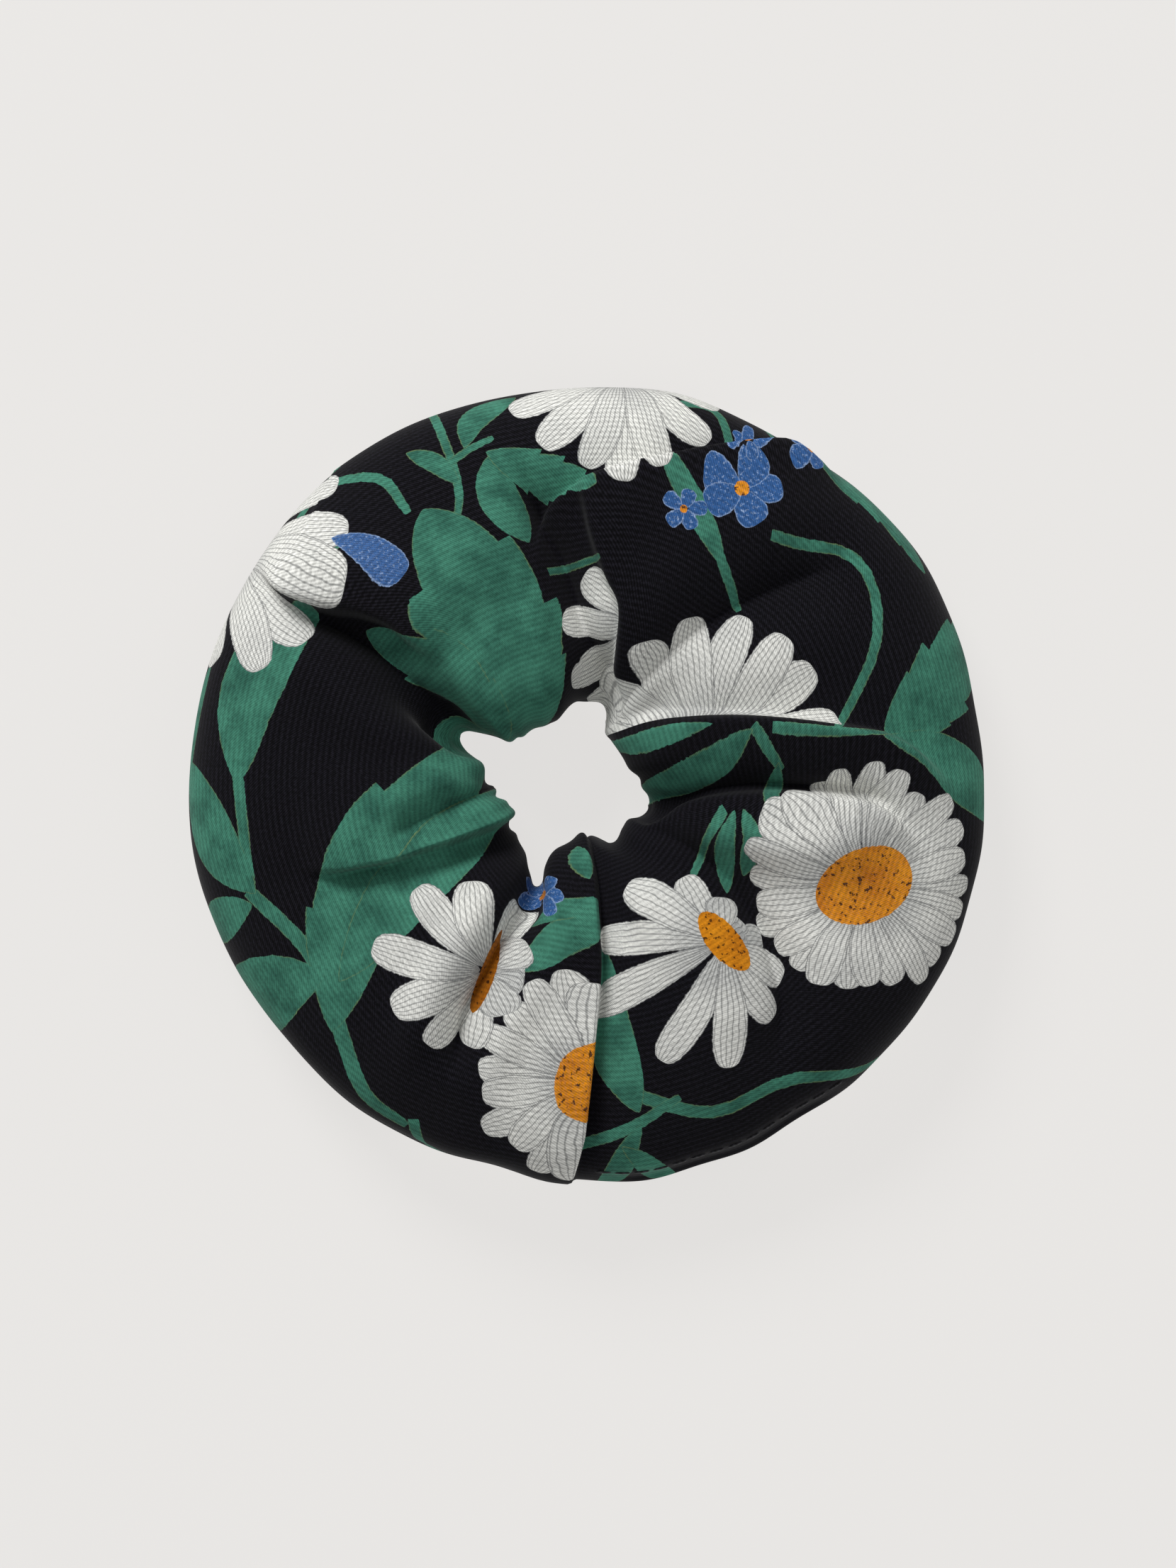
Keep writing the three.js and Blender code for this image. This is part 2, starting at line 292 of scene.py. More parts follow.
def fold_cover(a, t, inward, plain):
    """Lays the folds on the plain ring."""
    out = surface_normals(plain)
    moved = plain.copy()
    flat = plain[..., :2].reshape(-1, 2)
    on_top = ease(np.sin(t), -0.25, 0.3)
    sides = {}
    for name, (kind, depth, width, over, points) in FOLDS.items():
        along, side, left = along_path(flat, smooth_path(points))
        along, side = along.reshape(a.shape), side.reshape(a.shape)
        left = left.reshape(a.shape + (2,))
        fade = ease(along, -0.02, 0.22) * ease(1 - along, -0.02, 0.22) * on_top
        rise, slip = fold_profile(kind, side, width, over)
        moved += out * (depth * rise * fade)[..., None]
        moved[..., :2] += left * (slip * fade)[..., None]
        sides[name] = side
    pleat_turn = a * PLEATS + 3.2 * waves(a, 0 * t, 11, 6, 3, 9)
    pleat = 1 - 2 * np.abs(np.sin(pleat_turn / 2)) ** 0.7
    soft_pleat = np.sin(a * SOFT_PLEATS + 2.4 * waves(a, 0 * t, 12, 6, 2, 7))
    hole_edge = ease(inward, 0.72, 1.0) * ease(np.sin(t), -0.35, 0.1)
    hole_wall = ease(inward, 0.6, 0.95) * ease(-np.sin(t), 0.3, 0.75)
    under = ease(-np.sin(t), 0.1, 0.6) * ease(inward, 0.25, 0.95)
    gathers = pleat * (PLEAT_IN_HOLE * hole_wall + PLEAT_UNDER * under)
    gathers += SOFT_PLEAT_DEPTH * soft_pleat * hole_edge
    moved += out * gathers[..., None]
    ripple = waves(a, t, 21, 14, 9, 26)
    moved += out * (ripple * (RIPPLE + RIPPLE_INWARD * inward * (1 - hole_edge)))[..., None]
    # The hand sewing pinches the rim flat.
    pinch = ease(a, CLOSING[0] - 0.05, CLOSING[0] + 0.1) * ease(CLOSING[1] - a, -0.05, 0.1)
    pinch *= ease(-inward, -0.045, -0.012)
    moved[..., 2] += (RIM_HEIGHT - moved[..., 2]) * 0.7 * pinch
    # The underside rests on the table, uneven but never below it, and both edges meet at the long seam.
    moved[..., 2] = np.maximum(moved[..., 2], 0.15 + 0.12 * (1 + ripple))
    moved[:, 0] = moved[:, -1] = 0.5 * (moved[:, 0] + moved[:, -1])
    return moved, sides


def with_allowances(points):
    """Adds the long seam's turned-in edges at both sides of the grid."""
    rim = 0.5 * (points[:, 0] + points[:, -1])
    inwards = HOLE_CENTRE - rim[:, :2]
    inwards /= np.linalg.norm(inwards, axis=1, keepdims=True)
    rows = []
    for lift in (FOLDED_EDGE, -FOLDED_EDGE):
        side = []
        for k in range(1, ALLOWANCE_STEPS + 1):
            into = SEAM_ALLOWANCE * k / ALLOWANCE_STEPS
            row = rim.copy()
            row[:, :2] += inwards * into
            row[:, 2] += lift * min(1, k / 2)
            side.append(row)
        rows.append(np.stack(side, 1))
    return np.concatenate([rows[0][:, ::-1], points, rows[1]], 1)


def grid_mesh(name, points):
    """A mesh from a grid of points in mm that closes on itself in its first direction."""
    turns, across = points.shape[:2]
    index = np.arange(turns * across).reshape(turns, across)
    after = np.roll(index, -1, 0)
    quads = np.stack([index[:, :-1], after[:, :-1], after[:, 1:], index[:, 1:]], -1).reshape(-1, 4)
    mesh = bpy.data.meshes.new(name)
    mesh.from_pydata((points.reshape(-1, 3) * MM).tolist(), [], quads.tolist())
    mesh.polygons.foreach_set("use_smooth", np.ones(len(mesh.polygons), bool))
    piece = bpy.data.objects.new(name, mesh)
    bpy.context.scene.collection.objects.link(piece)
    return piece, quads


ring_angle, tube_angle, inward, plain_ring = cover_shape()
folded, fold_sides = fold_cover(ring_angle, tube_angle, inward, plain_ring)
cover, cover_quads = grid_mesh("cloth_cover", with_allowances(folded))


# The print: daisies, small blue flowers, leaves and stems on black. Each is a plain motif, drawn by one
# rule for all of its kind, and placed in mm as seen from above. Some stay on one side of a fold, given as
# the fold's name and 1 for the left of its path or -1 for its right.
LEFT_OF_SEAM, RIGHT_OF_SEAM = ("cross_seam", 1), ("cross_seam", -1)
ABOVE_LAP, BELOW_LAP = ("right_lap", -1), ("right_lap", 1)
LEFT_OF_RIDGE = ("petal_ridge", -1)

# Half width, teeth, side of a fold, and the leaf's stalk, middle and tip.
LEAVES = [
    (8.2, 4, None, [(-9.5, 5.5), (-12.5, 21), (-22.5, 37.5)]),
    (4.8, 3, None, [(-11, 6), (-20, 15), (-30.5, 21)]),
    (2.8, 0, None, [(-8, 33), (-12, 39), (-13.5, 45)]),
    (3.2, 5, None, [(-14, 45.5), (-7, 42.5), (1, 41)]),
    (2.3, 0, None, [(-17, 46), (-15.5, 50.5), (-10, 53.5)]),
    (1.5, 0, None, [(-17.5, 41), (-21, 44), (-25, 45.5)]),
    (1.2, 0, None, [(-42, 30.5), (-38, 32), (-33.5, 32.5)]),
    (4.9, 0, None, [(-48, 0), (-46.5, 13), (-38.5, 25)]),
    (2.1, 0, None, [(-55.5, -2), (-54.5, 8), (-52, 17)]),
    (7.0, 3, None, [(-35, -34), (-30, -12), (-13, 7)]),
    (4.8, 0, None, [(-34, -27), (-23, -12), (-10, -1)]),
    (4.3, 0, None, [(-45.5, -15), (-51.5, -8), (-55, 3)]),
    (3.2, 0, None, [(-46, -16.5), (-49.5, -18), (-53, -21)]),
    (5.8, 0, None, [(-36, -26), (-44, -28.5), (-52, -35)]),
    (1.7, 0, None, [(9, 45), (14, 39), (18.5, 29.5)]),
    (2.8, 5, None, [(30, 46.5), (40, 38), (46.5, 29)]),
    (5.8, 4, None, [(41.5, 6), (48, 13), (55, 23)]),
    (4.2, 0, None, [(40, 6.5), (48, 3.5), (57, -5)]),
    (1.2, 0, BELOW_LAP, [(17, 8.2), (10, 6.6), (3, 5.8)]),
    (2.1, 0, BELOW_LAP, [(22.5, 7.6), (16, 1.8), (7.4, -2.4)]),
    (1.3, 0, None, [(26, 3), (25.4, -0.5), (24.6, -5)]),
    (1.6, 0, None, [(20, -3.4), (18.6, -9), (19, -15)]),
    (1.4, 0, None, [(21, -3.4), (22.4, -8), (21.2, -12.6)]),
    (3.5, 0, RIGHT_OF_SEAM, [(2, -21), (2.4, -33), (7, -45)]),
    (1.9, 0, RIGHT_OF_SEAM, [(7.4, -46.5), (5, -51.5), (1.5, -56.5)]),
    (1.9, 0, RIGHT_OF_SEAM, [(4.6, -49.8), (8, -52.4), (12, -55)]),
    (2.3, 0, LEFT_OF_SEAM, [(2.6, -18), (-3.5, -20.8), (-9, -25.5)]),
    (1.4, 0, LEFT_OF_SEAM, [(2.4, -16.8), (-3, -17), (-7.8, -19.6)]),
    (1.1, 0, LEFT_OF_SEAM, [(-1.6, -8.6), (-0.4, -10.8), (0.2, -13)]),
]

# Half width, side of a fold, and points on the stem.
STEMS = [
    (0.7, None, [(-22, 52), (-18, 42), (-18, 35)]),
    (0.6, None, [(-18.8, 44), (-16, 46), (-13, 47.5)]),
    (0.85, None, [(-38, 40), (-29, 42), (-24.5, 37)]),
    (0.85, None, [(-42, 32.5), (-39, 38), (-34.5, 44)]),
    (0.6, None, [(-5.4, 29), (1.5, 31)]),
    (0.9, None, [(-48, 2), (-47, -8), (-46, -15)]),
    (1.1, None, [(-46.6, -14.6), (-38.5, -22.5), (-34.4, -32.3)]),
    (1.2, None, [(-34.6, -31.5), (-31, -42), (-25, -47)]),
    (0.9, None, [(-24, -46), (-21, -51), (-14.5, -54)]),
    (0.8, None, [(11, 52.6), (17.5, 51.5), (20.2, 46.6)]),
    (0.6, None, [(24.6, 50), (29, 48), (32, 45)]),
    (0.75, None, [(17.5, 32), (20.6, 23.6)]),
    (0.8, None, [(25, 34), (36.5, 31), (39.5, 20), (33.5, 7)]),
    (0.7, None, [(25, 7.8), (35, 7.2), (45, 6.6)]),
    (0.7, BELOW_LAP, [(22.4, 8), (26.5, 2)]),
    (0.6, None, [(18.6, -3.4), (16, -8), (13.6, -14)]),
    (1.0, RIGHT_OF_SEAM, [(6, -42.4), (17, -45), (29, -40.3), (43, -37.6)]),
    (0.9, RIGHT_OF_SEAM, [(-1.5, -51.7), (6, -47), (12.6, -42.8)]),
]

# Middle, how long, how many and how crowded its petals are, half length and half width of the eye, the way
# the flower leans in degrees and how far (its far petals greyed with painted shade), how deep the painted
# shade is that darkens the eye to brown, and side of a fold.
DAISIES = [
    ((37.7, -13.9), 15.6, 25, 1.65, 6.9, 5.2, 110, 0.05, 0.0, None),
    ((18.6, -21.4), 11.4, 12, 1.25, 5.0, 2.2, 220, 0.74, 0.1, None),
    ((0.2, -40.6), 14.4, 21, 1.60, 5.7, 3.4, 174, 0.06, 0.0, LEFT_OF_SEAM),
    ((-13.8, -25.6), 10.4, 11, 1.35, 6.0, 1.5, 160, 0.50, 0.7, None),
    ((4.8, 57.4), 15.2, 16, 1.35, 3.6, 2.8, -90, 0.06, 0.0, None),
    ((-52.0, 34.0), 18.0, 16, 1.45, 4.5, 4.0, -60, 0.05, 0.0, None),
    ((15.4, 3.4), 18.4, 19, 1.45, 4.4, 3.6, 70, 0.05, 0.0, ABOVE_LAP),
    ((8.0, 21.6), 10.8, 10, 1.30, 3.5, 3.0, 200, 0.10, 0.0, LEFT_OF_RIDGE),
]

# Middle, how long its petals are, and turn in degrees.
BLUE_FLOWERS = [
    ((21.0, 40.3), 5.8, 16), ((13.0, 37.4), 3.0, 40), ((30.8, 46.4), 3.4, 70), ((22.0, 47.0), 2.6, 0),
    ((-6.2, -15.4), 2.8, 30),
]

# Half width, and the bud's stalk, middle and tip.
BUDS = [(2.4, [(-35, 33.6), (-30, 32), (-25, 28.4)])]

# The kinds of motif, as the material tells them apart.
GREEN, PETAL, BLUE, EYE = 1, 2, 3, 4
# How a motif's width runs: powers of the distance from its stalk and from its tip.
STEM_SHAPE = (0.03, 0.12)
LEAF_SHAPE = (0.80, 0.72)
PETAL_SHAPE = (0.70, 0.32)
OVAL_SHAPE = (0.5, 0.5)
# How many motifs may lie over each other on one small face of the cloth.
PRINT_LAYERS = 4
# The upper print runs from the long seam over the top and into the hole. These are angles round the tube:
# how far in it is seen from above, and where it ends. The underside is another stretch of the same print,
# turned and mirrored.
SEEN_FROM_ABOVE = math.radians(192)
UPPER_PRINT_END = math.radians(205)
UNDERSIDE_TURN = math.radians(140)
# From the crest inwards the print's chart goes by the cloth's own length for this share, and by the view
# from above for the rest, so that motifs reach down the hole's wall.
CLOTH_SHARE = 0.45


def cloth_chart(plain):
    """Where each point of the grid lies on the flat charts of the upper and the under side, in mm, and how
    far across the cloth it is."""
    plan = plain[..., :2]
    to_hole = plan[:, ACROSS_STEPS // 2] - plan[:, 0]
    to_hole /= np.linalg.norm(to_hole, axis=-1, keepdims=True)
    run = np.zeros(plain.shape[:2])
    run[:, 1:] = np.cumsum(np.linalg.norm(np.diff(plain, axis=1), axis=-1), axis=1)
    charts = []
    for middle, way in ((math.pi / 2, 1), (3 * math.pi / 2, -1)):
        column = int(np.argmin(np.abs(tube_angle[0] - middle)))
        along = (run - run[:, column : column + 1]) * way
        level = np.einsum("ijk,ik->ij", plan - plan[:, column : column + 1], to_hole)
        inner = along > 0
        along = np.where(inner, CLOTH_SHARE * along + (1 - CLOTH_SHARE) * level, along)
        charts.append(plan[:, column : column + 1] + to_hole[:, None] * along[..., None])
    return charts, run


def on_chart(points):
    """Places seen from above, moved to the upper chart through the topmost cloth there."""
    out = []
    for place in np.array(points, float):
        away = ((seen_cloth[:, :2] - place) ** 2).sum(1)
        # Where cloth lies over cloth, the upper one counts as nearer.
        nearest = np.argmin(away - 0.02 * seen_cloth[:, 2])
        out.append(seen_chart[nearest] + place - seen_cloth[nearest, :2])
    return np.array(out)


def blade(kind, width, powers, path, teeth=0, shade=0.0, cut=None):
    """One leaf, stem, petal or eye on the upper chart, its width grown so that its widest place has it."""
    stalk, tip = powers
    widest = stalk / (stalk + tip) if stalk + tip else 0.5
    full = width / (widest**stalk * (1 - widest) ** tip)
    return {
        "kind": kind, "width": full, "reach": width, "stalk": stalk, "tip": tip,
        "teeth": teeth, "shade": shade, "cut": cut, "path": path,
    }


def petals(kind, middle, root, length, count, crowding, lean, tilt, seed, cut=None):
    """A flower's petals, longest the way it leans, every other one lying over its neighbours. Each starts
    root mm from the middle."""
    rng = np.random.default_rng(seed)
    out = []
    for k in [*range(0, count, 2), *range(1, count, 2)]:
        turn = 2 * math.pi * (k + rng.uniform(-0.16, 0.16)) / count
        towards = math.cos(turn - math.radians(lean))
        reach = length * (1 + tilt * towards) * rng.uniform(0.92, 1.08)
        half = crowding * math.pi * 0.65 * length / count * rng.uniform(0.9, 1.1)
        bend = rng.uniform(-0.05, 0.05) * reach
        way = np.array([math.cos(turn), math.sin(turn)])
        left = np.array([-math.sin(turn), math.cos(turn)])
        start = min(root, 0.4 * reach)
        halfway = middle + 0.5 * (start + reach) * way + bend * left
        points = [middle + start * way, halfway, middle + reach * way]
        # The far side of a leaning flower is greyed as painted shade, over a small random tone.
        grey = rng.uniform(0, 0.15) + max(0.0, 0.8 * tilt * -towards)
        out.append(blade(kind, half, PETAL_SHAPE, points, 0, grey, cut))
    return out


def eye_of(middle, half_length, half_width, turn, eye_painted_shade, cut=None):
    """A flower's eye: an oval, long across the way the flower leans."""
    way = half_length * np.array([math.cos(math.radians(turn)), math.sin(math.radians(turn))])
    return blade(EYE, half_width, OVAL_SHAPE, [middle - way, middle + way], 0, eye_painted_shade, cut)


def lay_print(places, faces, drawn, fold_side):
    """For each layer and each corner of the given faces, three parts each of place, shape and sort of the
    motifs that touch the face, the topmost first. Place: share of the way along, mm to the left, full width.
    Shape: both powers, half width. Sort: kind and shade, teeth, mm on the kept side of the motif's fold."""
    filled = np.zeros(len(faces), int)
    place = np.full((PRINT_LAYERS, len(faces), 4, 3), -1.0)
    shape = np.ones((PRINT_LAYERS, len(faces), 4, 3))
    sort = np.zeros((PRINT_LAYERS, len(faces), 4, 3))
    middles = places[faces].mean(1)
    for motif in reversed(drawn):
        path = motif["path"]
        margin = motif["reach"] + 1
        low, high = path.min(0) - margin, path.max(0) + margin
        near = ((middles > low) & (middles < high)).all(1) & (filled < PRINT_LAYERS)
        if motif["cut"] and fold_side:
            kept = fold_side[motif["cut"][0]] * motif["cut"][1]
            near &= (kept[faces] > 0).any(1)
        else:
            kept = np.ones(len(places))
        near = np.flatnonzero(near)
        if not len(near):
            continue
        used, where = np.unique(faces[near], return_inverse=True)
        where = where.reshape(-1, 4)
        along, side, _ = along_path(places[used], path)
        share = np.clip(along, 0, 1)
        half = motif["width"] * share ** motif["stalk"] * (1 - share) ** motif["tip"]
        past = np.maximum(-along, along - 1) * np.linalg.norm(path[-1] - path[0])
        # The margins leave room for the ink's uneven edge.
        touches = ((np.abs(side) < half + 0.2) & (past < 0.3))[where].any(1)
        pick, chosen = near[touches], where[touches]
        layer = filled[pick]
        width = np.full(chosen.shape, motif["width"])
        place[layer, pick] = np.stack([along[chosen], side[chosen], width], -1)
        shape[layer, pick] = (motif["stalk"], motif["tip"], motif["reach"])
        kind = np.full(chosen.shape, motif["kind"] + min(motif["shade"], 0.99))
        teeth = np.full(chosen.shape, motif["teeth"] + 0.5)
        sort[layer, pick] = np.stack([kind, teeth, kept[faces[pick]]], -1)
        filled[pick] += 1
    return place, shape, sort


def with_edges(values):
    """A grid of values with its first and last columns repeated over the turned-in allowances."""
    first = np.repeat(values[:, :1], ALLOWANCE_STEPS, 1)
    last = np.repeat(values[:, -1:], ALLOWANCE_STEPS, 1)
    return np.concatenate([first, values, last], 1)


(top_chart, under_chart), run_across = cloth_chart(plain_ring)
upper_half = tube_angle < SEEN_FROM_ABOVE
seen_cloth, seen_chart = folded[upper_half], top_chart[upper_half]

# All motifs, from the lowest to the topmost.
motifs = [blade(GREEN, half, STEM_SHAPE, points, 0, 0, cut) for half, cut, points in STEMS]
motifs += [blade(GREEN, half, LEAF_SHAPE, points, teeth, 0, cut) for half, teeth, cut, points in LEAVES]
for seed, daisy in enumerate(DAISIES):
    middle, length, count, crowding, eye_length, eye_width, lean, tilt, eye_painted_shade, cut = daisy
    middle, root = np.array(middle), 0.6 * eye_width
    motifs += petals(PETAL, middle, root, length, count, crowding, lean, tilt, seed, cut)
    motifs.append(eye_of(middle, eye_length, eye_width, lean - 90, eye_painted_shade, cut))
for seed, (middle, length, turn) in enumerate(BLUE_FLOWERS):
    middle, eye_radius = np.array(middle), 0.18 * length
    motifs += petals(BLUE, middle, 0, length, 5, 0.9, turn, 0, seed)
    motifs.append(eye_of(middle, eye_radius, eye_radius, turn, 0.0))
motifs += [blade(BLUE, half, PETAL_SHAPE, points) for half, points in BUDS]
for motif in motifs:
    motif["path"] = smooth_path(on_chart(motif["path"]), 4)

cosine, sine = math.cos(UNDERSIDE_TURN), math.sin(UNDERSIDE_TURN)
to_underside = np.array([[-cosine, sine], [sine, cosine]])
under_motifs = [{**motif, "path": motif["path"] @ to_underside, "cut": None} for motif in motifs]

face_tube = with_edges(tube_angle).reshape(-1)[cover_quads].mean(1)
columns = np.tile(np.arange(ACROSS_STEPS + 2 * ALLOWANCE_STEPS - 1), TURN_STEPS)
upper_faces = (face_tube < UPPER_PRINT_END) & (columns < ACROSS_STEPS)
all_sides = {name: with_edges(side).reshape(-1) for name, side in fold_sides.items()}
laid = np.zeros((3, PRINT_LAYERS, len(cover_quads), 4, 3), np.float32)
for chosen, chart, drawn, sides in (
    (upper_faces, top_chart, motifs, all_sides),
    (~upper_faces, under_chart, under_motifs, None),
):
    places = with_edges(chart).reshape(-1, 2)
    laid[:, :, chosen] = lay_print(places, cover_quads[chosen], drawn, sides)
for name, layers in zip(("place", "shape", "sort"), laid):
    for layer, values in enumerate(layers):
        attribute = cover.data.attributes.new(f"print_{name}_{layer}", "FLOAT_VECTOR", "CORNER")
        attribute.data.foreach_set("vector", values.ravel())

# Threads run round the ring and across the strip, and their map counts mm both ways. Round the ring it
# counts them at one radius, so the ribs crowd together towards the hole, as gathered cloth does.
MAP_RADIUS = 45.0
MAP_UNIT = 100.0
runs = with_edges(run_across)
runs = np.vstack([runs, runs[:1]])
rows = np.arange(TURN_STEPS + 1)[:, None] * 2 * math.pi / TURN_STEPS * MAP_RADIUS
threads = np.stack([np.broadcast_to(rows, runs.shape), runs], -1) / MAP_UNIT
corners = np.stack([threads[:-1, :-1], threads[1:, :-1], threads[1:, 1:], threads[:-1, 1:]], 2)
cover.data.uv_layers.new(name="threads").data.foreach_set("uv", corners.astype(np.float32).ravel())


def linear(hex_colour):
    """An sRGB hex colour as linear red, green, blue and alpha."""
    parts = [int(hex_colour[i : i + 2], 16) / 255 for i in (1, 3, 5)]
    return [c / 12.92 if c <= 0.04045 else ((c + 0.055) / 1.055) ** 2.4 for c in parts] + [1.0]


def add(tree, kind, *inputs, **settings):
    """A node with its settings. The inputs go to its open sockets in order; each is a value, a socket, a
    node for its first open output, or None to leave that socket alone."""
    node = tree.nodes.new(kind)
    for key, value in settings.items():
        setattr(node, key, value)
    for socket, given in zip([socket for socket in node.inputs if socket.enabled], inputs):
        if isinstance(given, bpy.types.Node):
            given = next(output for output in given.outputs if output.enabled)
        if isinstance(given, bpy.types.NodeSocket):
            tree.links.new(given, socket)
        elif given is not None:
            socket.default_value = given
    return node


# Printed viscose twill: soft and matt. Its ribs are 0.33 mm apart, drawn at 0.4 mm to show. The black
# ground shows a heather of lighter threads, the white parts the shade between their ribs.
RIB = 0.40
GROUND = "#08070b"
HEATHER = "#1c1b22"
LEAF_GREEN = "#468570"
LEAF_SHADE = "#316354"
LEAF_EDGE = "#8f9a58"
PETAL_WHITE = "#f0f0ea"
PETAL_GREY = "#9c9e9f"
PETAL_LINE = "#4c4e52"
EYE_ORANGE = "#ee9a1e"
EYE_SHADE = "#d07c12"
EYE_IN_PAINTED_SHADE = "#6e3408"
# The eye's colour where painted shade darkens it.
EYE_SPECK = "#3a1f0a"
FLOWER_BLUE = "#365f98"
FLOWER_FLECK = "#a9bfe0"
# A leaf's teeth, as shares: where they start along it, and how much narrower and wider than it they are.
TOOTH_START, TOOTH_CUT, TOOTH_DEPTH = 0.34, -0.16, 0.24
# Fine lines on a petal, in mm: how far apart, and where each one starts to show and is darkest.
LINE_SPACING, LINE_EDGE, LINE_CORE = 0.72, 0.11, 0.04
# How dark a petal's lines, its outline and its root are.
LINE_SHARE, OUTLINE_SHARE, ROOT_SHARE = 0.55, 0.85, 0.4
# How far the ink's edges wander, and over how many mm they fade.
INK_WANDER, INK_FADE = 0.36, 0.07

MATH, MIX, RANGE, NOISE = "ShaderNodeMath", "ShaderNodeMix", "ShaderNodeMapRange", "ShaderNodeTexNoise"
VECTOR_MATH, SEPARATE = "ShaderNodeVectorMath", "ShaderNodeSeparateXYZ"
# Which output of a mix node is its colour.
MIXED_COLOUR = 2


def printed_motif(tree, layer, noises):
    """The colour of one layer of the print, and where it lies."""
    edge_noise, line_noise, mottle, speck, fleck = noises
    parts = []
    for name in ("place", "shape", "sort"):
        source = add(tree, "ShaderNodeAttribute", attribute_name=f"print_{name}_{layer}")
        parts += add(tree, SEPARATE, source.outputs["Vector"]).outputs
    along, side, width, stalk, tip, reach, kind_and_shade, teeth, kept = parts
    kind = add(tree, MATH, kind_and_shade, operation="FLOOR")
    shade = add(tree, MATH, kind_and_shade, operation="FRACT")

    # Half the motif's width at this place along it.
    share = add(tree, "ShaderNodeClamp", along, 0.0, 1.0)
    rest = add(tree, MATH, 1.0, share, operation="SUBTRACT")
    from_stalk = add(tree, MATH, share, stalk, operation="POWER")
    from_tip = add(tree, MATH, rest, tip, operation="POWER")
    half = add(tree, MATH, from_stalk, from_tip, operation="MULTIPLY")
    half = add(tree, MATH, half, width, operation="MULTIPLY")
    # A leaf's teeth point to its tip.
    tooth = add(tree, MATH, share, add(tree, MATH, teeth, operation="FLOOR"), operation="MULTIPLY")
    tooth = add(tree, MATH, tooth, operation="FRACT")
    tooth = add(tree, MATH, tooth, TOOTH_DEPTH, TOOTH_CUT, operation="MULTIPLY_ADD")
    has_teeth = add(tree, MATH, teeth, 1.0, operation="GREATER_THAN")
    past_start = add(tree, MATH, share, TOOTH_START, operation="GREATER_THAN")
    toothed = add(tree, MATH, has_teeth, past_start, operation="MULTIPLY")
    tooth = add(tree, MATH, tooth, toothed, 1.0, operation="MULTIPLY_ADD")
    half = add(tree, MATH, half, tooth, operation="MULTIPLY")

    # How far inside the motif's edge this place is, in mm, and whether the motif is printed here at all.
    away = add(tree, MATH, side, operation="ABSOLUTE")
    depth = add(tree, MATH, half, away, operation="SUBTRACT")
    depth = add(tree, MATH, depth, edge_noise, operation="ADD")
    here = add(tree, RANGE, depth, 0.0, INK_FADE, 0.0, 1.0)
    for limit in (
        add(tree, MATH, along, 0.0, operation="GREATER_THAN"),
        add(tree, MATH, along, 1.0, operation="LESS_THAN"),
        add(tree, MATH, kept, 0.0, operation="GREATER_THAN"),
    ):
        here = add(tree, MATH, here, limit, operation="MULTIPLY")

    green = add(tree, MIX, mottle, linear(LEAF_GREEN), linear(LEAF_SHADE), data_type="RGBA")
    rim = add(tree, RANGE, depth, 0.25, 0.05, 0.0, 0.5)
    rim = add(tree, MATH, rim, mottle, operation="MULTIPLY")
    green = add(tree, MIX, rim, green, linear(LEAF_EDGE), data_type="RGBA")

    # Fine lines run along each petal, evenly spaced across it, and its root and its edge are darker.
    count = add(tree, MATH, reach, LINE_SPACING, operation="DIVIDE")
    count = add(tree, MATH, count, operation="ROUND")
    count = add(tree, MATH, count, 2.0, operation="MAXIMUM")
    across = add(tree, MATH, half, 0.01, operation="MAXIMUM")
    across = add(tree, MATH, side, across, operation="DIVIDE")
    across = add(tree, MATH, across, count, operation="MULTIPLY")
    across = add(tree, MATH, across, line_noise, operation="ADD")
    # Forty whole lines more keep the number above nought.
    across = add(tree, MATH, across, 40.0, operation="ADD")
    off_line = add(tree, MATH, across, operation="FRACT")
    off_line = add(tree, MATH, off_line, 0.5, operation="SUBTRACT")
    off_line = add(tree, MATH, off_line, operation="ABSOLUTE")
    spacing = add(tree, MATH, half, count, operation="DIVIDE")
    off_line = add(tree, MATH, off_line, spacing, operation="MULTIPLY")
    line = add(tree, RANGE, off_line, LINE_EDGE, LINE_CORE, 0.0, LINE_SHARE)
    outline = add(tree, RANGE, depth, 0.20, 0.06, 0.0, OUTLINE_SHARE)
    mark = add(tree, MATH, line, outline, operation="MAXIMUM")
    root = add(tree, RANGE, share, 0.55, 0.22, 0.0, ROOT_SHARE)
    # A petal's grey: a random tone and, on the far side of a leaning flower, painted shade.
    grey = add(tree, MATH, root, shade, operation="MAXIMUM")
    stain = add(tree, MATH, mottle, 0.18, operation="MULTIPLY")
    grey = add(tree, MATH, grey, stain, operation="ADD", use_clamp=True)
    white = add(tree, MIX, grey, linear(PETAL_WHITE), linear(PETAL_GREY), data_type="RGBA")
    white = add(tree, MIX, mark, white, linear(PETAL_LINE), data_type="RGBA")

    blue = add(tree, MIX, fleck, linear(FLOWER_BLUE), linear(FLOWER_FLECK), data_type="RGBA")
    pale_rim = add(tree, RANGE, depth, 0.24, 0.10, 0.0, 0.5)
    blue = add(tree, MIX, pale_rim, blue, linear(FLOWER_FLECK), data_type="RGBA")

    eye = add(tree, MIX, mottle, linear(EYE_ORANGE), linear(EYE_SHADE), data_type="RGBA")
    # Painted shade darkens an eye in shadow towards brown.
    eye = add(tree, MIX, shade, eye, linear(EYE_IN_PAINTED_SHADE), data_type="RGBA")
    eye = add(tree, MIX, speck, eye, linear(EYE_SPECK), data_type="RGBA")

    colour = green
    for number, finish in ((PETAL, white), (BLUE, blue), (EYE, eye)):
        of_kind = add(tree, MATH, kind, float(number), 0.1, operation="COMPARE")
        colour = add(tree, MIX, of_kind, colour, finish, data_type="RGBA")
    return colour, here


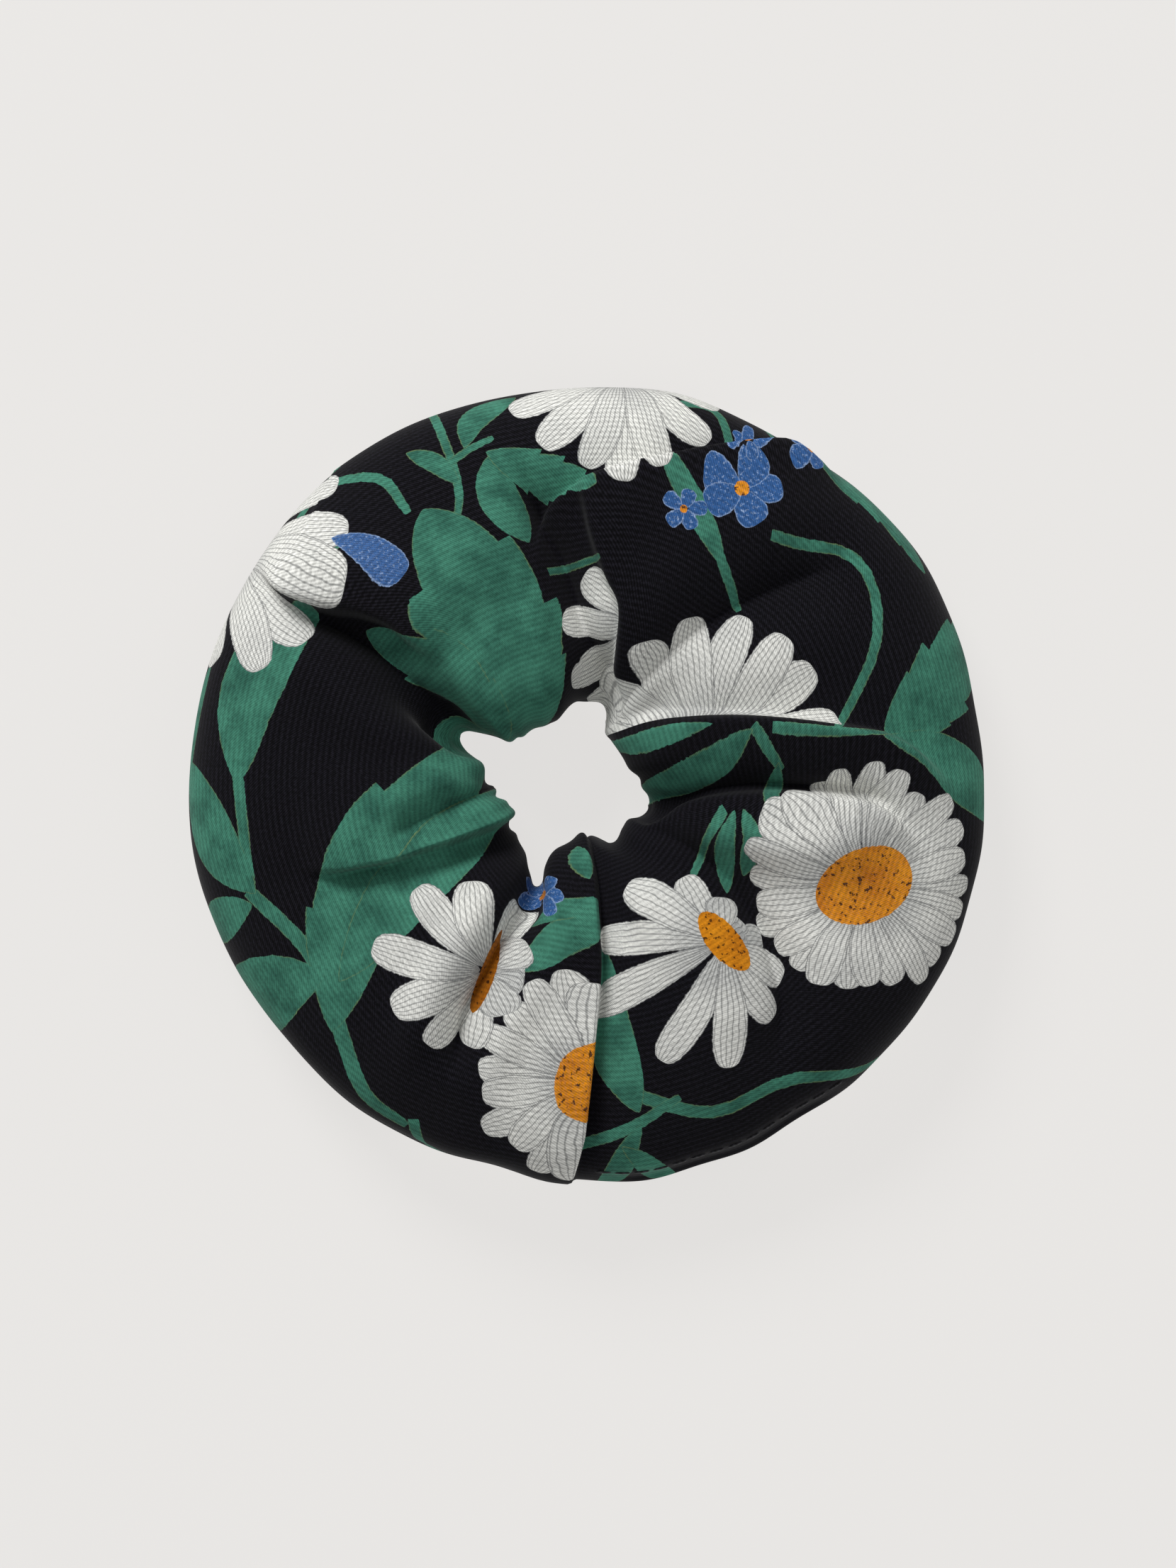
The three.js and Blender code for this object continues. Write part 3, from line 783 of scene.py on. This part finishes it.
def printed_twill():
    material = bpy.data.materials.new("printed_viscose_twill")
    material.use_nodes = True
    tree = material.node_tree
    shader = tree.nodes["Principled BSDF"]

    # Ribs of the twill, each made of short floats of thread, with the yarn's own unevenness.
    thread_map = add(tree, "ShaderNodeUVMap", uv_map="threads")
    mm = add(tree, VECTOR_MATH, thread_map, (MAP_UNIT,) * 3, operation="MULTIPLY")
    round_ring, across, _ = add(tree, SEPARATE, mm).outputs
    slant = add(tree, MATH, round_ring, across, operation="ADD")
    slant = add(tree, MATH, slant, 2 * math.pi / RIB, operation="MULTIPLY")
    rib = add(tree, MATH, slant, operation="SINE")
    floats = add(tree, MATH, across, math.pi / RIB, operation="MULTIPLY")
    floats = add(tree, MATH, floats, operation="SINE")
    weave = add(tree, MATH, floats, 0.7, rib, operation="MULTIPLY_ADD")
    slub = add(tree, NOISE, mm, 2.2, 3.0, 0.7)
    thread = add(tree, MATH, weave, 0.16, slub, operation="MULTIPLY_ADD")
    lit = add(tree, RANGE, thread, 0.38, 0.80, 0.0, 1.0)
    colour = add(tree, MIX, lit, linear(GROUND), linear(HEATHER), data_type="RGBA")

    # Unevenness of the print, each at its own scale in waves a millimetre.
    place = add(tree, "ShaderNodeTexCoord").outputs["Object"]
    mm = add(tree, VECTOR_MATH, place, (1 / MM,) * 3, operation="MULTIPLY")
    edge_noise = add(tree, NOISE, mm, 1.8, 2.0)
    edge_noise = add(tree, MATH, edge_noise, INK_WANDER, -0.5 * INK_WANDER, operation="MULTIPLY_ADD")
    line_noise = add(tree, NOISE, mm, 0.5, 1.0)
    line_noise = add(tree, MATH, line_noise, 0.7, -0.35, operation="MULTIPLY_ADD")
    mottle = add(tree, RANGE, add(tree, NOISE, mm, 0.22, 4.0, 0.6), 0.4, 0.68, 0.0, 1.0)
    speck = add(tree, RANGE, add(tree, NOISE, mm, 1.5, 2.0), 0.60, 0.66, 0.0, 0.9)
    fleck = add(tree, RANGE, add(tree, NOISE, mm, 2.4, 2.0, 0.7), 0.56, 0.70, 0.0, 0.7)
    noises = (edge_noise, line_noise, mottle, speck, fleck)
    for layer in reversed(range(PRINT_LAYERS)):
        printed, here = printed_motif(tree, layer, noises)
        colour = add(tree, MIX, here, colour, printed, data_type="RGBA")

    # The ribs catch the light and the gaps between them stay darker, whatever is printed on them.
    relief = add(tree, RANGE, thread, 0.22, 0.80, 0.60, 1.24)
    colour = add(tree, MIX, 1.0, colour, relief, data_type="RGBA", blend_type="MULTIPLY")
    bump = add(tree, "ShaderNodeBump", 0.4, 0.06 * MM, None, thread)
    tree.links.new(colour.outputs[MIXED_COLOUR], shader.inputs["Base Color"])
    tree.links.new(bump.outputs["Normal"], shader.inputs["Normal"])
    shader.inputs["Roughness"].default_value = 0.9
    shader.inputs["Specular IOR Level"].default_value = 0.08
    shader.inputs["Sheen Weight"].default_value = 0.05
    shader.inputs["Sheen Roughness"].default_value = 0.5
    return material


cover.data.materials.append(printed_twill())
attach(cover, "cover")
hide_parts("cover")


# ------------------------------------------------------------------------------------------
# Thread: spun polyester, black, in the three seams of the cover. Each row is lockstitch, so what shows is
# one short float of thread after another, its ends pulled down into the cloth.

THREAD_RADIUS = 0.17
STITCH_STEP = 2.6
STITCH_LENGTH = 2.3
# How far the long seam's stitches run from the rim, and the closing stitches from it on the outside.
LONG_SEAM_INSET = 2.4
CLOSING_INSET = 1.6
# How far inside the cloth the cross seam's stitches lie.
INSIDE_CLOTH = 0.5


def spun_thread():
    """Two plies of fibre twisted together, one turn a millimetre: black, with a painted satin highlight on
    each ply and painted shade where they meet.
    """
    material = bpy.data.materials.new("spun_polyester_thread")
    material.use_nodes = True
    tree = material.node_tree
    shader = tree.nodes["Principled BSDF"]
    place = add(tree, "ShaderNodeTexCoord").outputs["Object"]
    mm = add(tree, VECTOR_MATH, place, (1 / MM,) * 3, operation="MULTIPLY")
    x, y, z = add(tree, SEPARATE, mm).outputs
    slant = add(tree, MATH, add(tree, MATH, x, y, operation="ADD"), z, operation="ADD")
    slant = add(tree, MATH, slant, 2 * math.pi, operation="MULTIPLY")
    ply = add(tree, MATH, add(tree, MATH, slant, operation="SINE"), 0.5, 0.5, operation="MULTIPLY_ADD")
    fibre = add(tree, NOISE, mm, 6.0, 2.0)
    # Painted light: the plies' crowns lighter, the grooves between them darker.
    lit = add(tree, MATH, ply, fibre, operation="MULTIPLY")
    colour = add(tree, MIX, lit, linear("#0b0a0e"), linear("#46454c"), data_type="RGBA")
    bump = add(tree, "ShaderNodeBump", 0.5, 0.05 * MM, None, ply)
    tree.links.new(colour.outputs[MIXED_COLOUR], shader.inputs["Base Color"])
    tree.links.new(bump.outputs["Normal"], shader.inputs["Normal"])
    shader.inputs["Roughness"].default_value = 0.62
    shader.inputs["Sheen Weight"].default_value = 0.1
    return material


def stitch_tree(material):
    """Nodes that lay one float of thread at each step along a path."""
    tree = bpy.data.node_groups.new("stitches", "GeometryNodeTree")
    tree.interface.new_socket("Path", in_out="INPUT", socket_type="NodeSocketGeometry")
    for name in ("Step", "Stitch length", "Thread radius"):
        tree.interface.new_socket(name, in_out="INPUT", socket_type="NodeSocketFloat")
    tree.interface.new_socket("Stitches", in_out="OUTPUT", socket_type="NodeSocketGeometry")
    given = tree.nodes.new("NodeGroupInput").outputs
    path = add(tree, "GeometryNodeMeshToCurve", given["Path"])
    path = add(tree, "GeometryNodeResampleCurve", path, None, given["Step"], mode="LENGTH")
    way = add(tree, "GeometryNodeInputTangent")
    turned = add(tree, "FunctionNodeAlignRotationToVector", None, None, way, axis="X")
    half = add(tree, MATH, given["Stitch length"], 0.5, operation="MULTIPLY")
    size = add(tree, "ShaderNodeCombineXYZ", half, given["Thread radius"], given["Thread radius"])
    float_of_thread = add(tree, "GeometryNodeMeshUVSphere", 8, 6, 1.0)
    rows = add(tree, "GeometryNodeInstanceOnPoints", path, None, float_of_thread, None, None, turned, size)
    rows = add(tree, "GeometryNodeSetShadeSmooth", add(tree, "GeometryNodeRealizeInstances", rows))
    rows = add(tree, "GeometryNodeSetMaterial", rows, None, material)
    add(tree, "NodeGroupOutput", rows)
    return tree


thread = spun_thread()
stitches = stitch_tree(thread)


def sew(name, node, paths):
    """Rows of stitches along paths in mm, as one plain mesh that stands for a CAD node."""
    points = np.concatenate(paths) * MM
    ends = np.cumsum([len(p) for p in paths])
    edges = [(i, i + 1) for i in range(len(points) - 1) if i + 1 not in ends]
    guide = bpy.data.meshes.new(name)
    guide.from_pydata(points.tolist(), edges, [])
    row = bpy.data.objects.new(name, guide)
    bpy.context.scene.collection.objects.link(row)
    modifier = row.modifiers.new("stitches", "NODES")
    modifier.node_group = stitches
    sizes = {"Step": STITCH_STEP, "Stitch length": STITCH_LENGTH, "Thread radius": THREAD_RADIUS}
    for socket in stitches.interface.items_tree:
        if socket.name in sizes:
            modifier[socket.identifier] = sizes[socket.name] * MM
    row.data = bpy.data.meshes.new_from_object(row.evaluated_get(bpy.context.evaluated_depsgraph_get()))
    row.modifiers.clear()
    # The sphere brings an empty material place of its own, before the thread's.
    row.data.materials.pop(index=0)
    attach(row, "cover")
    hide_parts(node)


cloth_out = surface_normals(folded)
turn_of_row = ring_angle[:, 0]
closed_by_hand = (turn_of_row > CLOSING[0]) & (turn_of_row < CLOSING[1])

# The long seam holds the two turned-in edges together, all round but where the tube was turned through it.
rim = folded[:, 0]
to_hole = HOLE_CENTRE - rim[:, :2]
to_hole /= np.linalg.norm(to_hole, axis=1, keepdims=True)
lift = np.full(len(rim), FOLDED_EDGE + 0.5 * THREAD_RADIUS)
seam = rim + np.column_stack([LONG_SEAM_INSET * to_hole, lift])
first = int(np.flatnonzero(closed_by_hand)[-1]) + 1
open_rows = np.roll(np.arange(TURN_STEPS), -first)[: TURN_STEPS - int(closed_by_hand.sum())]
sew("long_seam_thread", "long_seam_stitch", [seam[open_rows]])

# The cross seam closes the strip into a ring; its stitches run round the inside of the tube.
inside = folded - INSIDE_CLOTH * cloth_out
sew("cross_seam_thread", "cross_seam_stitch", [inside[0, 2:-2]])

# The last stretch of the rim is topstitched from outside, so its thread shows on both sides.
from_rim = np.linalg.norm(plain_ring[0, :, :2] - plain_ring[0, 0, :2], axis=1)
top_column = int(np.argmax(from_rim > CLOSING_INSET))
closing_rows = np.flatnonzero(closed_by_hand)
lying = folded + 0.6 * THREAD_RADIUS * cloth_out
over, under = lying[closing_rows, top_column], lying[closing_rows, -1 - top_column]
sew("closing_thread", "closing_stitch", [over, under])


# ------------------------------------------------------------------------------------------
# Elastic: a flat braided band, 6 mm wide, run through the cover and lapped on itself, the lap sewn zigzag.
# Its ribs are the rubber strands, with polyester yarn braided round them.

BAND_CENTRE = np.array(frame["joints"][0]["pos_m"][:2]) / MM
BAND_WIDTH, BAND_THICKNESS = 6.0, 1.1
BAND_LEVEL = 0.5 * (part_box("elastic_band")[0].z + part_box("elastic_band")[1].z) / MM
# Radius at the band's inner end, how much it grows in one turn, and how far the ends lap, in degrees.
BAND_RADIUS, BAND_GROWTH, BAND_LAP = 25.0, 1.42, 29.0
# Its ribs: how many, how much thicker the band is at one than on average, and the room that takes.
BAND_RIBS, RIB_RISE, RIB_ROOM = 7, 0.12, 0.06
BAND_STEPS, BAND_SIDES = 260, 56

band_turn = np.radians(360 + BAND_LAP) * np.linspace(0, 1, BAND_STEPS)
band_side = 2 * math.pi * np.arange(BAND_SIDES) / BAND_SIDES
up = 0.5 * BAND_WIDTH * signed_power(np.sin(band_side), 0.5)
thick = (0.5 * BAND_THICKNESS - RIB_ROOM) * signed_power(np.cos(band_side), 0.3)
thick *= 1 + RIB_RISE * np.cos(2 * math.pi * BAND_RIBS * up / BAND_WIDTH)
turns, ups = np.meshgrid(band_turn, up, indexing="ij")
radii = BAND_RADIUS + BAND_GROWTH * turns / (2 * math.pi) + thick
across_ring, up_ring = radii * np.cos(turns), radii * np.sin(turns)
points = np.stack([BAND_CENTRE[0] + across_ring, BAND_CENTRE[1] + up_ring, BAND_LEVEL + ups], -1)
index = np.arange(BAND_STEPS * BAND_SIDES).reshape(BAND_STEPS, BAND_SIDES)
beside = np.roll(index, -1, 1)
quads = np.stack([index[:-1], index[1:], beside[1:], beside[:-1]], -1).reshape(-1, 4).tolist()
cut_ends = [index[0].tolist(), index[-1][::-1].tolist()]
band_mesh = bpy.data.meshes.new("braided_band")
band_mesh.from_pydata((points.reshape(-1, 3) * MM).tolist(), [], quads + cut_ends)
band_mesh.polygons.foreach_set("use_smooth", np.ones(len(band_mesh.polygons), bool))
band = bpy.data.objects.new("braided_band", band_mesh)
bpy.context.scene.collection.objects.link(band)

# Its own map: mm along the band and across it, as the braid lies, ten to one unit.
BRAID_UNIT = 10.0
along_band = np.repeat((BAND_RADIUS + BAND_GROWTH / 2) * band_turn[:, None], BAND_SIDES, 1)
braid_map = np.stack([along_band, ups], -1).reshape(-1, 2)
loops = np.empty(len(band_mesh.loops), np.int32)
band_mesh.loops.foreach_get("vertex_index", loops)
braid_corners = (braid_map[loops] / BRAID_UNIT).astype(np.float32)
band_mesh.uv_layers.new(name="braid").data.foreach_set("uv", braid_corners.ravel())


def braided_elastic():
    """Polyester yarns crossing over rubber strands: matt, black, each yarn about 0.5 mm wide, with painted
    light on the yarns' crowns and painted shade between them.
    """
    material = bpy.data.materials.new("braided_polyester_elastic")
    material.use_nodes = True
    tree = material.node_tree
    shader = tree.nodes["Principled BSDF"]
    braid_lie = add(tree, "ShaderNodeUVMap", uv_map="braid")
    mm = add(tree, VECTOR_MATH, braid_lie, (BRAID_UNIT,) * 3, operation="MULTIPLY")
    along, up, _ = add(tree, SEPARATE, mm).outputs
    yarns = []
    for way in ("ADD", "SUBTRACT"):
        slant = add(tree, MATH, along, up, operation=way)
        slant = add(tree, MATH, slant, 2 * math.pi, operation="MULTIPLY")
        yarns.append(add(tree, MATH, slant, operation="SINE"))
    braid = add(tree, MATH, *yarns, operation="MAXIMUM")
    fibre = add(tree, NOISE, mm, 5.0, 3.0)
    # Painted light: each yarn's crown lighter, the gaps between the yarns darker.
    lit = add(tree, MATH, braid, 0.5, 0.5, operation="MULTIPLY_ADD")
    lit = add(tree, MATH, lit, fibre, operation="MULTIPLY", use_clamp=True)
    colour = add(tree, MIX, lit, linear("#111014"), linear("#4b4a50"), data_type="RGBA")
    bump = add(tree, "ShaderNodeBump", 0.6, 0.1 * MM, None, braid)
    tree.links.new(colour.outputs[MIXED_COLOUR], shader.inputs["Base Color"])
    tree.links.new(bump.outputs["Normal"], shader.inputs["Normal"])
    shader.inputs["Roughness"].default_value = 0.8
    return material


band_mesh.materials.append(braided_elastic())
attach(band, "elastic")
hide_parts("elastic_band")

# The zigzag that joins the lap keeps its own shape and takes the thread's finish.
join = bpy.data.objects["elastic_join_stitch"]
for slot in join.material_slots:
    slot.material = thread


# ------------------------------------------------------------------------------------------
# Table and light: a sheet of pale opal acrylic lit evenly from below, as a product table is, so that
# shadows on it stay faint. One soft light stands behind on the left and a weaker one on the right.

bpy.ops.mesh.primitive_plane_add(size=6)
table = bpy.context.object
table.name = "table"
acrylic = bpy.data.materials.new("lit_opal_acrylic")
acrylic.use_nodes = True
glow = acrylic.node_tree.nodes["Principled BSDF"].inputs
glow["Base Color"].default_value = linear("#5c5b59")
glow["Emission Color"].default_value = linear("#e9e7e5")
glow["Emission Strength"].default_value = 0.88
glow["Roughness"].default_value = 1.0
table.data.materials.append(acrylic)


def soft_light(name, place, size, watts):
    lamp = bpy.data.lights.new(name, "AREA")
    lamp.shape = "DISK"
    lamp.size = size
    lamp.energy = watts
    holder = bpy.data.objects.new(name, lamp)
    holder.location = place
    holder.rotation_euler = (-Vector(place)).to_track_quat("-Z", "Y").to_euler()
    bpy.context.scene.collection.objects.link(holder)


soft_light("key_light", (-0.55, 1.1, 0.9), 0.6, 17)
soft_light("fill_light", (0.9, -0.4, 1.0), 1.2, 2)

world = bpy.data.worlds.new("room")
world.use_nodes = True
world.node_tree.nodes["Background"].inputs["Color"].default_value = linear("#ffffff")
world.node_tree.nodes["Background"].inputs["Strength"].default_value = 0.34
bpy.context.scene.world = world
bpy.context.scene.view_settings.view_transform = "Standard"
